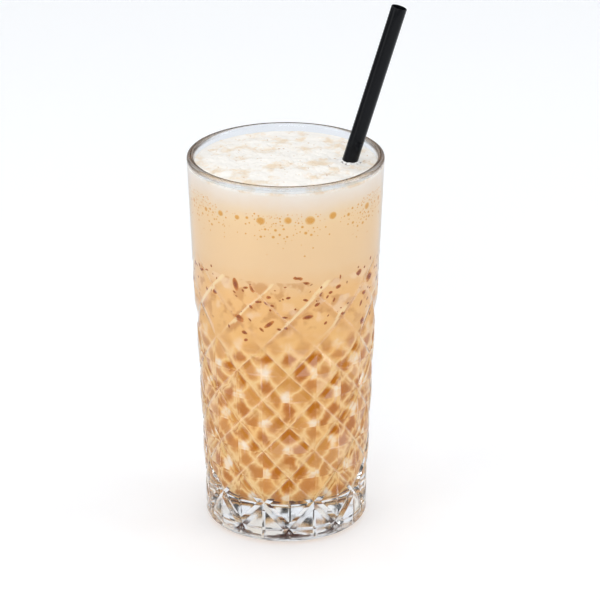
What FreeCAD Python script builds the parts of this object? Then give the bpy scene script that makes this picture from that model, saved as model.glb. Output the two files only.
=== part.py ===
import FreeCAD, Part
import math
import os

import Sketcher
from FreeCAD import Placement, Rotation, Vector

# Iced coffee in a tall cut-glass tumbler, with its drinking straw.
# Origin: centre of the glass's underside. +Z up. Front is -Y. All sizes in millimetres.

# Driving dimensions: alias, value, meaning.
SIZES = [
    ("glass_height", 150.0, "height of the glass"),
    ("rim_radius", 37.8, "outer wall's radius at the top, before the lip is rounded"),
    ("foot_radius", 31.8, "outer wall's radius at the bottom, before the edge is rounded"),
    ("rim_wall", 2.8, "wall thickness at the lip"),
    ("foot_wall", 7.0, "wall thickness at the floor"),
    ("floor_thickness", 13.0, "solid glass under the drink"),
    ("foot_round", 3.0, "rounding of the bottom edge"),
    ("bore_round", 9.0, "rounding between floor and inner wall"),
    ("lip_round", 1.3, "rounding of each edge of the lip"),
    ("cuts_around", 10, "mitre cuts in each direction round the glass"),
    ("cut_turn", 2.0, "degrees from the front to the first column of crossings"),
    ("first_crossing", 6.15, "height of the lowest crossings"),
    ("diamond_height", 22.05, "height of one diamond of the cut pattern"),
    ("cut_depth", 1.35, "depth of a mitre cut"),
    ("cut_half_width", 2.0, "width of one side of a mitre cut"),
    ("facet_depth", 0.5, "depth of a diamond's facets at their outer edge"),
    ("peak_depth", 0.12, "depth of a diamond's peak"),
    ("diamond_top", 84.0, "the diamonds stop below this height, plain glass starts"),
    ("full_cut_top", 80.0, "above this height the cuts grow shallower"),
    ("lancet_tip", 117.2, "height where the cuts run out in points"),
    ("lancet_slope", 0.22, "rise of a cut's side for each mm of width, above the diamonds"),
    ("cut_foot", 2.3, "height where the cuts run out above the bottom edge"),
    ("fill_gap", 3.6, "from the lip down to the foam's edge"),
    ("foam_crown", 1.0, "rise of the foam from its edge to its middle"),
    ("foam_thickness", 8.0, "depth of the white foam at its edge"),
    ("milk_thickness", 28.0, "depth of the pale milky layer"),
    ("straw_diameter", 6.0, "outside of the straw"),
    ("straw_wall", 0.4, "wall of the straw"),
    ("straw_length", 202.0, "straw from end to end"),
    ("straw_foot_inset", 9.4, "from the inner wall at the floor, on the -X side, to the straw's axis"),
    ("straw_top_inset", 10.5, "from the inner wall at the foam, on the +X side, to the straw's axis"),
    ("straw_seat", 0.3, "clearance between the straw's lower edge and the floor"),
]

FOAM_EDGE = "(Sizes.glass_height - Sizes.fill_gap)"
FOAM_BASE = "(Sizes.glass_height - Sizes.fill_gap - Sizes.foam_thickness)"
MILK_BASE = (
    "(Sizes.glass_height - Sizes.fill_gap - Sizes.foam_thickness - Sizes.milk_thickness)"
)
BORE_RIM_RADIUS = "(Sizes.rim_radius - Sizes.rim_wall)"
BORE_FOOT_RADIUS = "(Sizes.foot_radius - Sizes.foot_wall)"
LIP_ROUND = "min(Sizes.lip_round; 0.47 * Sizes.rim_wall)"


def make_sheet(doc):
    """The spreadsheet: each driving dimension is a plain number with an alias."""
    sheet = doc.addObject("Spreadsheet::Sheet", "Sizes")
    for row, (alias, value, meaning) in enumerate(SIZES, start=1):
        sheet.set(f"A{row}", meaning)
        sheet.set(f"B{row}", str(value))
        sheet.setAlias(f"B{row}", alias)
    doc.recompute()
    return sheet


def bore_radius_at(height):
    """Expression for the inner wall's radius at a height, on its straight taper."""
    share = f"({height} - Sizes.floor_thickness) / (Sizes.glass_height - Sizes.floor_thickness)"
    return f"({BORE_FOOT_RADIUS} + ({BORE_RIM_RADIUS} - {BORE_FOOT_RADIUS}) * {share})"


def plane_of(body, role):
    """The body's own origin plane with this role."""
    return next(item for item in body.Origin.OriginFeatures if item.Role == role)


def pin_point(sketch, geometry, point, radius, height):
    """Fix a sketch point by expressions for its radius and height, either of which may be None."""
    for kind, axis, expression in (("DistanceX", -2, radius), ("DistanceY", -1, height)):
        if expression is None:
            sketch.addConstraint(Sketcher.Constraint("PointOnObject", geometry, point, axis))
            continue
        value = float(sketch.evalExpression(expression))
        index = sketch.addConstraint(
            Sketcher.Constraint(kind, -1, 1, geometry, point, value)
        )
        sketch.setExpression(f"Constraints[{index}]", expression)


def profile_body(doc, name, corners, crown=False):
    """A body turned about +Z from an outline that starts and ends on the axis.

    corners lists expressions for radius and height; None stands for the axis or the base.
    With crown set, the last side is an arc that arrives level at the axis.
    """
    body = doc.addObject("PartDesign::Body", name)
    sketch = body.newObject("Sketcher::SketchObject", name + "Outline")
    sketch.AttachmentSupport = [(plane_of(body, "XZ_Plane"), "")]
    sketch.MapMode = "FlatFace"
    doc.recompute()

    def number(expression):
        return 0.0 if expression is None else float(sketch.evalExpression(expression))

    points = [Vector(number(radius), number(height), 0) for radius, height in corners]
    sides = [Part.LineSegment(a, b) for a, b in zip(points, points[1:])]
    if crown:
        edge, top = points[-2], points[-1]
        rise = top.y - edge.y
        centre = Vector(0, top.y - (edge.x**2 + rise**2) / (2 * rise), 0)
        circle = Part.Circle(centre, Vector(0, 0, 1), top.y - centre.y)
        sides[-1] = Part.ArcOfCircle(circle, math.atan2(edge.y - centre.y, edge.x), math.pi / 2)
    sides.append(Part.LineSegment(points[-1], points[0]))
    sketch.addGeometry(sides, False)
    for side in range(len(sides)):
        following = (side + 1) % len(sides)
        sketch.addConstraint(Sketcher.Constraint("Coincident", side, 2, following, 1))
    for side, (radius, height) in enumerate(corners):
        pin_point(sketch, side, 1, radius, height)
    if crown:
        arc = len(sides) - 2
        sketch.addConstraint(Sketcher.Constraint("PointOnObject", arc, 3, -2))
    turned = body.newObject("PartDesign::Revolution", name + "Turned")
    turned.Profile = sketch
    turned.ReferenceAxis = (sketch, ["V_Axis"])
    turned.Angle = 360.0
    doc.recompute()
    return body


def ring_edge(shape, radius, height):
    """Name of the shape's circular edge of this radius at this height."""
    for index, edge in enumerate(shape.Edges, start=1):
        curve = edge.Curve
        if not isinstance(curve, Part.Circle):
            continue
        if abs(curve.Radius - radius) < 0.01 and abs(curve.Center.z - height) < 0.01:
            return f"Edge{index}"
    raise ValueError(f"no ring of radius {radius} at height {height}")


def round_ring(doc, body, radius, height, rounding):
    """Fillet one ring edge of a turned body; all three arguments are expressions."""
    base = body.Tip
    place = [float(base.evalExpression(expression)) for expression in (radius, height)]
    fillet = body.newObject("PartDesign::Fillet", body.Name + "Round")
    fillet.Base = (base, [ring_edge(base.Shape, *place)])
    fillet.setExpression("Radius", rounding)
    doc.recompute()


def glass_blank(doc):
    """The tumbler as pressed, before its pattern: a tapered wall on a thick floor."""
    outline = [
        (None, None),
        ("Sizes.foot_radius", None),
        ("Sizes.rim_radius", "Sizes.glass_height"),
        (BORE_RIM_RADIUS, "Sizes.glass_height"),
        (BORE_FOOT_RADIUS, "Sizes.floor_thickness"),
        (None, "Sizes.floor_thickness"),
    ]
    body = profile_body(doc, "GlassBlank", outline)
    round_ring(doc, body, "Sizes.foot_radius", "0", "Sizes.foot_round")
    round_ring(doc, body, BORE_FOOT_RADIUS, "Sizes.floor_thickness", "Sizes.bore_round")
    round_ring(doc, body, "Sizes.rim_radius", "Sizes.glass_height", LIP_ROUND)
    round_ring(doc, body, BORE_RIM_RADIUS, "Sizes.glass_height", LIP_ROUND)
    return body


class CutPattern:
    """The faceted surface that the mitre cuts leave, on a lattice of crossings.

    Columns of crossings stand half a cut apart round the glass, rows half a diamond
    apart; crossings are where column plus row is even, diamonds centre where it is odd.
    """

    def __init__(self, sizes):
        self.sizes = sizes
        self.columns = 2 * int(round(sizes.cuts_around))
        self.row_height = sizes.diamond_height / 2
        middle = (sizes.rim_radius + sizes.foot_radius) / 2
        column_width = 2 * math.pi * middle / self.columns
        diagonal = math.hypot(column_width, self.row_height)
        self.cut_spacing = 2 * column_width * self.row_height / diagonal
        self.points = []
        self.triangles = []
        self.numbers = {}

    def wall_radius(self, height):
        """Radius of the plain outer wall."""
        share = height / self.sizes.glass_height
        return self.sizes.foot_radius + (self.sizes.rim_radius - self.sizes.foot_radius) * share

    def run_out(self, height):
        """Share of the full depth at a height: below 0 where the cuts have left the glass."""
        sizes = self.sizes
        low = (height - sizes.cut_foot) / (sizes.first_crossing - sizes.cut_foot)
        high = (sizes.lancet_tip - height) / (sizes.lancet_tip - sizes.full_cut_top)
        return min(1.0, low, high)

    def depth(self, height, distance, in_diamond):
        """Depth below the plain wall at a distance from the nearest cut's centre line.

        Above the diamonds a cut's side just rises evenly. In a diamond the facets climb
        from the edge of the cut to the peak, which is farthest from all four cuts.
        """
        sizes = self.sizes
        cut = sizes.cut_depth * self.run_out(height)
        if distance == 0:
            return cut
        if not in_diamond:
            return cut - sizes.lancet_slope * distance
        facet_width = self.cut_spacing / 2 - sizes.cut_half_width
        climb = (distance - sizes.cut_half_width) / facet_width
        return min(cut, sizes.facet_depth + (sizes.peak_depth - sizes.facet_depth) * climb)

    def new_point(self, column, radius, height):
        """Add a point at a column, which need not be whole, and give its number."""
        angle = math.radians(self.sizes.cut_turn + column * 360 / self.columns)
        self.points.append(Vector(radius * math.sin(angle), -radius * math.cos(angle), height))
        return len(self.points) - 1

    def key(self, column, row):
        """Name of a lattice place, the same all the way round."""
        finest = 1000
        return (round(column * finest) % (finest * self.columns), round(row * finest))

    def lattice_point(self, column, row, distance, in_diamond):
        """Number of the point at a lattice place, made once."""
        key = self.key(column, row)
        if key not in self.numbers:
            height = self.sizes.first_crossing + row * self.row_height
            radius = self.wall_radius(height) - self.depth(height, distance, in_diamond)
            self.numbers[key] = self.new_point(column, radius, height)
        return self.numbers[key]

    def add_diamond(self, column, row):
        """One diamond: two cut sides along each edge, then four facets up to the peak."""
        sizes = self.sizes
        middle_height = sizes.first_crossing + row * self.row_height
        in_diamond = middle_height < sizes.diamond_top - self.row_height / 2
        near = sizes.cut_half_width / self.cut_spacing
        steps = [0.0, near, 1.0 - near, 1.0]

        def point(right, left):
            distance = min(right, 1 - right, left, 1 - left) * self.cut_spacing
            place = (column + right - left, row - 1 + right + left)
            return self.lattice_point(*place, distance, in_diamond)

        grid = [[point(right, left) for left in steps] for right in steps]
        peak = point(0.5, 0.5)
        for i in range(3):
            for j in range(3):
                quad = [grid[i][j], grid[i + 1][j], grid[i + 1][j + 1], grid[i][j + 1]]
                if i == 1 and j == 1:
                    self.triangles += [(quad[k], quad[(k + 1) % 4], peak) for k in range(4)]
                elif i == j or 1 in (i, j):
                    self.triangles += [tuple(quad[:3]), (quad[0], quad[2], quad[3])]
                else:
                    self.triangles += [tuple(quad[1:]), (quad[1], quad[3], quad[0])]

    def close_end(self, row, height):
        """Carry the zigzag edge beyond a row to a ring clear of the wall, and close that."""
        clear_of_wall = 2.0
        radius = self.wall_radius(height) + clear_of_wall
        near = self.sizes.cut_half_width / self.cut_spacing
        outward = 1 if row > 0 else -1
        columns = [column + step for column in range(self.columns) for step in (0, near, 1 - near)]
        edge = []
        ring = []
        for column in columns:
            from_even = min(column % 2, 2 - column % 2)
            climb = 1 - from_even if row % 2 else from_even
            edge.append(self.numbers[self.key(column, row + climb * outward)])
            ring.append(self.new_point(column, radius, height))
        hub = self.new_point(0, 0, height)
        for k in range(len(edge)):
            n = (k + 1) % len(edge)
            faces = [(edge[k], edge[n], ring[n]), (edge[k], ring[n], ring[k]), (ring[k], ring[n], hub)]
            self.triangles += faces if outward > 0 else [face[::-1] for face in faces]

    def solid(self):
        """The closed solid inside the cut surface, reaching past both ends of the glass."""
        sizes = self.sizes
        first = -1
        last = math.ceil((sizes.lancet_tip - sizes.first_crossing) / self.row_height) + 1
        for row in range(first, last + 1):
            for column in range(self.columns):
                if (column + row) % 2:
                    self.add_diamond(column, row)
        top = max(sizes.glass_height, sizes.first_crossing + (last + 1) * self.row_height)
        bottom = sizes.first_crossing + (first - 1) * self.row_height
        self.close_end(last, top + self.row_height)
        self.close_end(first, bottom - self.row_height)
        shape = Part.Shape()
        shape.makeShapeFromMesh((self.points, self.triangles), 0.001)
        solid = Part.Solid(Part.Shell(shape.Faces))
        if solid.Volume < 0:
            solid.reverse()
        return solid


def cut_core(doc, sizes):
    """The pattern's solid as an object of the document."""
    core = doc.addObject("Part::Feature", "CutCore")
    core.Shape = CutPattern(sizes).solid()
    core.Placement = Placement()
    return core


def combine(doc, kind, name, base, tool, label=None):
    """A boolean of two objects."""
    result = doc.addObject(kind, name)
    result.Base = base
    result.Tool = tool
    if label:
        result.Label = label
    doc.recompute()
    return result


def place_on_straw(item):
    """Stand an upright tube or rod where the straw is.

    Its axis runs from a point on the floor to a point at the foam's edge, each set in
    from the inner wall. Its lower end stops where the edge just clears the floor.
    """
    floor_x = f"(Sizes.straw_foot_inset - {BORE_FOOT_RADIUS})"
    foam_x = f"({bore_radius_at(FOAM_EDGE)} - Sizes.straw_top_inset)"
    lean = f"atan(({foam_x} - {floor_x}) / ({FOAM_EDGE} - Sizes.floor_thickness))"
    lift = f"(Sizes.straw_seat + Sizes.straw_diameter / 2 * sin({lean}))"
    item.Placement = Placement(Vector(0, 0, 0), Rotation(Vector(0, 1, 0), 10))
    item.setExpression("Placement.Base.x", f"{floor_x} + {lift} * tan({lean})")
    item.setExpression("Placement.Base.z", f"Sizes.floor_thickness + {lift}")
    item.setExpression("Placement.Rotation.Angle", lean)


def straw(doc):
    """The straw: a thin tube, cut square at both ends."""
    body = doc.addObject("PartDesign::Body", "Straw")
    sketch = body.newObject("Sketcher::SketchObject", "StrawSection")
    sketch.AttachmentSupport = [(plane_of(body, "XY_Plane"), "")]
    sketch.MapMode = "FlatFace"
    outer = "Sizes.straw_diameter / 2"
    for radius in (outer, outer + " - Sizes.straw_wall"):
        value = float(sketch.evalExpression(radius))
        circle = sketch.addGeometry(Part.Circle(Vector(0, 0, 0), Vector(0, 0, 1), value), False)
        sketch.addConstraint(Sketcher.Constraint("Coincident", circle, 3, -1, 1))
        index = sketch.addConstraint(Sketcher.Constraint("Radius", circle, value))
        sketch.setExpression(f"Constraints[{index}]", radius)
    tube = body.newObject("PartDesign::Pad", "StrawTube")
    tube.Profile = sketch
    tube.setExpression("Length", "Sizes.straw_length")
    place_on_straw(body)
    body.Label = "straw"
    doc.recompute()
    return body


def straw_rod(doc):
    """The room that the straw takes up in the drink."""
    rod = doc.addObject("Part::Cylinder", "StrawRod")
    rod.setExpression("Radius", "Sizes.straw_diameter / 2")
    rod.setExpression("Height", "Sizes.straw_length")
    place_on_straw(rod)
    doc.recompute()
    return rod


def drink(doc):
    """All that fills the glass, from the floor to the foam's crown."""
    outline = [
        (None, "Sizes.floor_thickness"),
        (BORE_FOOT_RADIUS, "Sizes.floor_thickness"),
        (bore_radius_at(FOAM_EDGE), FOAM_EDGE),
        (None, f"{FOAM_EDGE} + Sizes.foam_crown"),
    ]
    body = profile_body(doc, "Drink", outline, crown=True)
    round_ring(doc, body, BORE_FOOT_RADIUS, "Sizes.floor_thickness", "Sizes.bore_round")
    return body


def layer(doc, label, whole, rod, low, high):
    """One layer of the drink between two heights, with the straw's room left free."""
    span = doc.addObject("Part::Cylinder", label + "Span")
    span.setExpression("Radius", "Sizes.rim_radius")
    span.setExpression("Placement.Base.z", low)
    span.setExpression("Height", f"({high}) - ({low})")
    doc.recompute()
    block = combine(doc, "Part::Common", label + "Block", whole, span)
    return combine(doc, "Part::Cut", label + "Layer", block, rod, label)


def check(doc, pieces):
    """Stop before anything is written if an object or a piece has failed."""
    for item in doc.Objects:
        if "Invalid" in item.State or "Error" in item.State:
            raise RuntimeError(f"{item.Name} has failed: {item.State}")
    for piece in pieces:
        shape = piece.Shape
        if shape.isNull() or not shape.isValid() or len(shape.Solids) != 1:
            raise RuntimeError(f"{piece.Label} is not one valid solid")
        print(f"{piece.Label}: {shape.Volume:.0f} mm3, {len(shape.Faces)} faces")


def main():
    doc = FreeCAD.newDocument("IcedCoffee")
    sizes = make_sheet(doc)
    blank = glass_blank(doc)
    core = cut_core(doc, sizes)
    glass = combine(doc, "Part::Common", "CutGlass", blank, core, "glass")
    rod = straw_rod(doc)
    whole = drink(doc)
    above_foam = f"{FOAM_EDGE} + 2 * Sizes.foam_crown"
    pieces = [
        glass,
        layer(doc, "coffee", whole, rod, "0", MILK_BASE),
        layer(doc, "milky_coffee", whole, rod, MILK_BASE, FOAM_BASE),
        layer(doc, "foam", whole, rod, FOAM_BASE, above_foam),
        straw(doc),
    ]
    doc.recompute()
    check(doc, pieces)
    os.makedirs("parts", exist_ok=True)
    for piece in pieces:
        piece.Shape.exportStep(f"parts/{piece.Label}.step")


main()
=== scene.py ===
# %% [markdown]
# # Iced coffee in a cut-glass tumbler
#
# A tall tumbler, pressed with a diamond pattern, holds milky coffee in three tones: golden
# below, cream above, white foam on top. A black straw leans in it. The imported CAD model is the
# frame: it gives every level and radius, and the pieces made here stand exactly in its place.

# %% Load the frame
import math

import bpy
import numpy as np
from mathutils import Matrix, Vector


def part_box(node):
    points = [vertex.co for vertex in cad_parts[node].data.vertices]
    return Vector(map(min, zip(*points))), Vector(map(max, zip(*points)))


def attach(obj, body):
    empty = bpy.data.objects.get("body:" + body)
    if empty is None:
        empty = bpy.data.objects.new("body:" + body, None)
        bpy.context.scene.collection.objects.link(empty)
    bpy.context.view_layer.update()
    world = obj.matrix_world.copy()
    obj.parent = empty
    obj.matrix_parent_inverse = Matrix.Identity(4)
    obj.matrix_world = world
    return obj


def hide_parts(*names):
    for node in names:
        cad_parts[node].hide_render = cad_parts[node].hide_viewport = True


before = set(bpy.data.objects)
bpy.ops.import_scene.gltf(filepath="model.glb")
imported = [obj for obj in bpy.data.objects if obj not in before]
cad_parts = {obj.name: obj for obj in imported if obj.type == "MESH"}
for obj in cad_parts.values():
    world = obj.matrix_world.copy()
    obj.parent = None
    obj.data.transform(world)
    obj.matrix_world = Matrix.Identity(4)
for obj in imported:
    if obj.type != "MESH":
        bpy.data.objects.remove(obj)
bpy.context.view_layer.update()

# %% [markdown]
# ## Sizes
#
# Lengths are in millimetres while a shape is worked out, and become metres when its mesh is
# made. The heights of the glass and of each layer are read from the frame. The other values
# are the glassmaker's: walls, roundings and the cut pattern, the same as in the CAD part. Only
# the fine lines in the facets, LINE_DEPTH deep, are added here.

# %% Sizes
MM = 0.001
GLASS_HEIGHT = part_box("glass")[1][2] / MM
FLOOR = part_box("coffee")[0][2] / MM
MILK_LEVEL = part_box("milky_coffee")[0][2] / MM
FOAM_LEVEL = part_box("foam")[0][2] / MM
FOAM_CROWN_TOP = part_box("foam")[1][2] / MM
RIM_RADIUS, FOOT_RADIUS = 37.8, 31.8
RIM_WALL, FOOT_WALL = 2.8, 7.0
FOOT_ROUND, BORE_ROUND, LIP_ROUND = 3.0, 9.0, 1.3
FILL_GAP = 3.6
FOAM_EDGE = GLASS_HEIGHT - FILL_GAP

CUTS_AROUND = 10
CUT_TURN = 2.0
FIRST_CROSSING = 6.15
HALF_DIAMOND = 22.05 / 2
CUT_DEPTH, CUT_HALF_WIDTH = 1.35, 2.0
FACET_DEPTH, PEAK_DEPTH = 0.5, 0.12
DIAMOND_TOP, FULL_CUT_TOP = 84.0, 80.0
LANCET_TIP, LANCET_SLOPE = 117.2, 0.22
CUT_FOOT = 2.3
LINE_DEPTH, LINE_HALF_WIDTH = 0.16, 0.7

HALF_CUT_ANGLE = math.radians(180 / CUTS_AROUND)
COLUMN_WIDTH = HALF_CUT_ANGLE * (RIM_RADIUS + FOOT_RADIUS) / 2
HALF_SPACING = COLUMN_WIDTH * HALF_DIAMOND / math.hypot(COLUMN_WIDTH, HALF_DIAMOND)
print(f"glass {GLASS_HEIGHT:.1f} mm high, cuts {2 * HALF_SPACING:.1f} mm apart")

# %% [markdown]
# ## From arrays to a piece
#
# Each piece is a grid of points worked out with numpy as whole arrays. One helper turns the
# arrays into a mesh, another joins neighbouring rings of a turned shape with triangles. Numpy
# suits this better than modelling operators: a formula is exact and can be read.

# %% Make a piece
def make_piece(name, points, faces, node=None, sharp_above=35):
    """Make a mesh object from points in millimetres and an array of faces.

    Shading is smooth but for edges that bend by more than sharp_above degrees.
    """
    mesh = bpy.data.meshes.new(name)
    mesh.vertices.add(len(points))
    mesh.vertices.foreach_set("co", (points * MM).astype(np.float32).ravel())
    mesh.loops.add(faces.size)
    mesh.loops.foreach_set("vertex_index", faces.astype(np.int32).ravel())
    mesh.polygons.add(len(faces))
    mesh.polygons.foreach_set("loop_start", np.arange(0, faces.size, faces.shape[1], dtype=np.int32))
    mesh.update(calc_edges=True)
    mesh.validate()
    mesh.shade_smooth()
    mesh.set_sharp_from_angle(angle=math.radians(sharp_above))
    piece = bpy.data.objects.new(name, mesh)
    bpy.context.scene.collection.objects.link(piece)
    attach(piece, "root")
    if node:
        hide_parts(node)
    print(f"{name}: {len(points)} points, {len(faces)} faces")
    return piece


# %% Grids of points and faces
def ring_faces(rows, columns, slash=None):
    """Triangles between neighbouring rings of a closed grid, facing outwards.

    Points are numbered ring by ring. Each four-sided field is split along its rising
    diagonal where slash is true, and along its falling one elsewhere.
    """
    row, column = np.meshgrid(np.arange(rows - 1), np.arange(columns), indexing="ij")
    low_left = row * columns + column
    low_right = row * columns + (column + 1) % columns
    high_left, high_right = low_left + columns, low_right + columns
    rising = np.stack([low_left, low_right, high_right, low_left, high_right, high_left], -1)
    falling = np.stack([low_left, low_right, high_left, low_right, high_right, high_left], -1)
    if slash is None:
        slash = np.ones(low_left.shape, bool)
    return np.where(slash[..., None], rising, falling).reshape(-1, 3)


def turned_points(radius, height, angle):
    """Points of a turned surface; angle 0 is the front (-Y) and grows towards +X."""
    return np.stack([radius * np.sin(angle), -radius * np.cos(angle), height], -1)


def close_poles(points, faces, columns, first_height, last_height):
    """Add a point on the axis to each end ring of a turned grid and fan triangles to it."""
    count = len(points)
    ring = np.arange(columns)
    following = (ring + 1) % columns
    last_ring = count - columns
    start = np.stack([np.full(columns, count), following, ring], -1)
    end = np.stack([last_ring + ring, last_ring + following, np.full(columns, count + 1)], -1)
    poles = np.array([[0, 0, first_height], [0, 0, last_height]], float)
    return np.concatenate([points, poles]), np.concatenate([faces, start, end])


def arc(centre_radius, centre_height, rounding, start, end, steps):
    """Radii and heights along a circular arc of a profile, angles in degrees."""
    angle = np.radians(np.linspace(start, end, steps))
    return centre_radius + rounding * np.cos(angle), centre_height + rounding * np.sin(angle)


def smooth_step(low, high, value):
    """0 below low, 1 above high, and an S-shaped rise between."""
    share = np.clip((value - low) / (high - low), 0, 1)
    return share * share * (3 - 2 * share)

# %% [markdown]
# ## The tumbler
#
# The real glass is pressed in a mould and fire polished. Ten cuts run each way round it like
# the threads of two screws. They cross in diamonds, every diamond rises in four flat facets
# with fine lines between them, and above the diamonds the cuts run out in long points.
#
# The relief is a height formula on a grid of angle and height whose diagonals lie along the
# cuts, so every crease falls on an edge of the mesh. Booleans would give ragged triangles, and
# a bump map would not bend the light through the wall as real facets do.

# %% The wall
OUTER_SLOPE = math.atan((RIM_RADIUS - FOOT_RADIUS) / GLASS_HEIGHT)
BORE_FOOT, BORE_RIM = FOOT_RADIUS - FOOT_WALL, RIM_RADIUS - RIM_WALL
BORE_SLOPE = math.atan((BORE_RIM - BORE_FOOT) / (GLASS_HEIGHT - FLOOR))


def outer_radius(height):
    """Radius of the plain outer wall: a straight taper from foot to rim."""
    return FOOT_RADIUS + height * math.tan(OUTER_SLOPE)


def bore_radius(height):
    """Radius of the inner wall: a straight taper from floor to rim."""
    return BORE_FOOT + (height - FLOOR) * math.tan(BORE_SLOPE)


def cut_relief(across, up):
    """Depth of the pattern below the plain wall.

    across counts half cuts round the glass and up counts half diamonds above the first
    crossings. across + up and across - up then count the two families of cuts, and are even
    on a cut's centre line. A cut is a V: its depth falls evenly with distance from that line.
    In a diamond the facets climb evenly from the V's edge to the peak.
    """
    height = FIRST_CROSSING + up * HALF_DIAMOND
    falling, rising = across + up, across - up
    from_falling = np.abs((falling + 1) % 2 - 1)
    from_rising = np.abs((rising + 1) % 2 - 1)
    distance = np.minimum(from_falling, from_rising) * HALF_SPACING
    run_low = (height - CUT_FOOT) / (FIRST_CROSSING - CUT_FOOT)
    run_high = (LANCET_TIP - height) / (LANCET_TIP - FULL_CUT_TOP)
    cut = CUT_DEPTH * np.minimum(1, np.minimum(run_low, run_high))
    cell_falling = 2 * np.floor(falling / 2) + 1
    cell_rising = 2 * np.floor(rising / 2) + 1
    cell_up = (cell_falling - cell_rising) / 2
    cell_across = (cell_falling + cell_rising) / 2
    diamond = FIRST_CROSSING + cell_up * HALF_DIAMOND < DIAMOND_TOP - HALF_DIAMOND / 2
    side_slope = np.where(diamond, (CUT_DEPTH - FACET_DEPTH) / CUT_HALF_WIDTH, LANCET_SLOPE)
    side = cut - side_slope * distance
    climb = (distance - CUT_HALF_WIDTH) / (HALF_SPACING - CUT_HALF_WIDTH)
    facet = np.minimum(FACET_DEPTH + (PEAK_DEPTH - FACET_DEPTH) * climb, cut)
    to_line = np.minimum(
        np.abs(across - cell_across) * COLUMN_WIDTH, np.abs(up - cell_up) * HALF_DIAMOND
    )
    line = LINE_DEPTH * np.clip(1 - to_line / LINE_HALF_WIDTH, 0, 1) * (climb > 0.02)
    depth = np.where(diamond, np.maximum(side, facet + line), side)
    return np.maximum(depth, 0)


print(f"cuts {CUT_DEPTH} mm deep in a wall that leans {math.degrees(OUTER_SLOPE):.1f} degrees")

# %% The glass's profile
FINE = 16
COLUMNS = 2 * CUTS_AROUND * FINE
OFF_THE_WALL = 40.0


def glass_profile():
    """Radii and heights from the centre of the underside, over the lip, to the bore's floor."""
    foot_centre = outer_radius(FOOT_ROUND) - FOOT_ROUND / math.cos(OUTER_SLOPE)
    tilt = math.degrees(OUTER_SLOPE)
    bore_tilt = math.degrees(BORE_SLOPE)
    foot = arc(foot_centre, FOOT_ROUND, FOOT_ROUND, -90, -tilt, 7)
    step = HALF_DIAMOND / FINE
    first_row = math.ceil((foot[1][-1] + 0.1 - FIRST_CROSSING) / step)
    last_row = math.ceil((LANCET_TIP - FIRST_CROSSING) / step)
    cut_rows = FIRST_CROSSING + step * np.arange(first_row, last_row + 1)
    lip_height = GLASS_HEIGHT - LIP_ROUND
    plain_rows = np.linspace(cut_rows[-1], lip_height, 9)[1:-1]
    wall = np.concatenate([cut_rows, plain_rows])
    outer_lip = arc(
        outer_radius(lip_height) - LIP_ROUND / math.cos(OUTER_SLOPE), lip_height, LIP_ROUND, -tilt, 90, 9
    )
    inner_lip = arc(
        bore_radius(lip_height) + LIP_ROUND / math.cos(BORE_SLOPE), lip_height, LIP_ROUND,
        90, 180 - bore_tilt, 9,
    )
    bore_rows = np.linspace(lip_height, FLOOR + BORE_ROUND, 24)[1:-1]
    corner = arc(
        bore_radius(FLOOR + BORE_ROUND) - BORE_ROUND / math.cos(BORE_SLOPE), FLOOR + BORE_ROUND,
        BORE_ROUND, -bore_tilt, -90, 9,
    )
    underside = np.linspace(6, foot_centre, 4)[:-1]
    floor_rows = np.linspace(corner[0][-1], 6, 4)[1:]
    radii = [underside, foot[0], outer_radius(wall), outer_lip[0], inner_lip[0]]
    radii += [bore_radius(bore_rows), corner[0], floor_rows]
    heights = [underside * 0, foot[1], wall, outer_lip[1], inner_lip[1]]
    heights += [bore_rows, corner[1], floor_rows * 0 + FLOOR]
    outside = np.concatenate([np.full(len(part), i in (1, 2)) for i, part in enumerate(radii)])
    return np.concatenate(radii), np.concatenate(heights), outside


# %% The glass as one closed surface
def build_glass():
    """The tumbler: its profile turned round the axis, with the relief taken off the wall.

    The UV map Lattice holds the two counts across and up, and OFF_THE_WALL for up where a
    point isn't on the patterned wall.
    """
    radius, height, outside = glass_profile()
    across, height_grid = np.meshgrid(np.arange(COLUMNS) / FINE, height)
    up = (height_grid - FIRST_CROSSING) / HALF_DIAMOND
    depth = np.where(outside[:, None], cut_relief(across, up), 0)
    angle = math.radians(CUT_TURN) + across * HALF_CUT_ANGLE
    points = turned_points(radius[:, None] - depth, height_grid, angle).reshape(-1, 3)
    middle_across = across[:-1] + 0.5 / FINE
    middle_up = (up[:-1] + up[1:]) / 2
    to_falling = np.abs((middle_across + middle_up + 1) % 2 - 1)
    to_rising = np.abs((middle_across - middle_up + 1) % 2 - 1)
    faces = ring_faces(len(radius), COLUMNS, slash=to_rising < to_falling)
    points, faces = close_poles(points, faces, COLUMNS, 0.0, FLOOR)
    piece = make_piece("Tumbler", points, faces, "glass", sharp_above=12)
    column = faces % COLUMNS
    wraps = (column.max(1) - column.min(1) > COLUMNS / 2)[:, None]
    column = column + COLUMNS * (wraps & (column < COLUMNS / 2))
    on_wall = np.append(np.repeat(outside, COLUMNS), [False, False])[faces]
    lattice_up = (points[faces][..., 2] - FIRST_CROSSING) / HALF_DIAMOND
    layer = piece.data.uv_layers.new(name="Lattice")
    pairs = np.stack([column / FINE, np.where(on_wall, lattice_up, OFF_THE_WALL)], -1)
    layer.data.foreach_set("uv", pairs.astype(np.float32).ravel())
    return piece


glass = build_glass()

# %% [markdown]
# ## The drink
#
# The drink fills the glass from wall to wall. Light bends only once on its way in if the
# drink's surface lies just inside the glass, so each layer reaches a tenth of a millimetre
# into the wall. Were it to stop short, a film of air would show as a silver skin.

# %% The two layers of coffee
INTO_WALL = 0.12
DRINK_COLUMNS = 160
DRINK_ANGLE = np.arange(DRINK_COLUMNS) * 2 * math.pi / DRINK_COLUMNS


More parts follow.
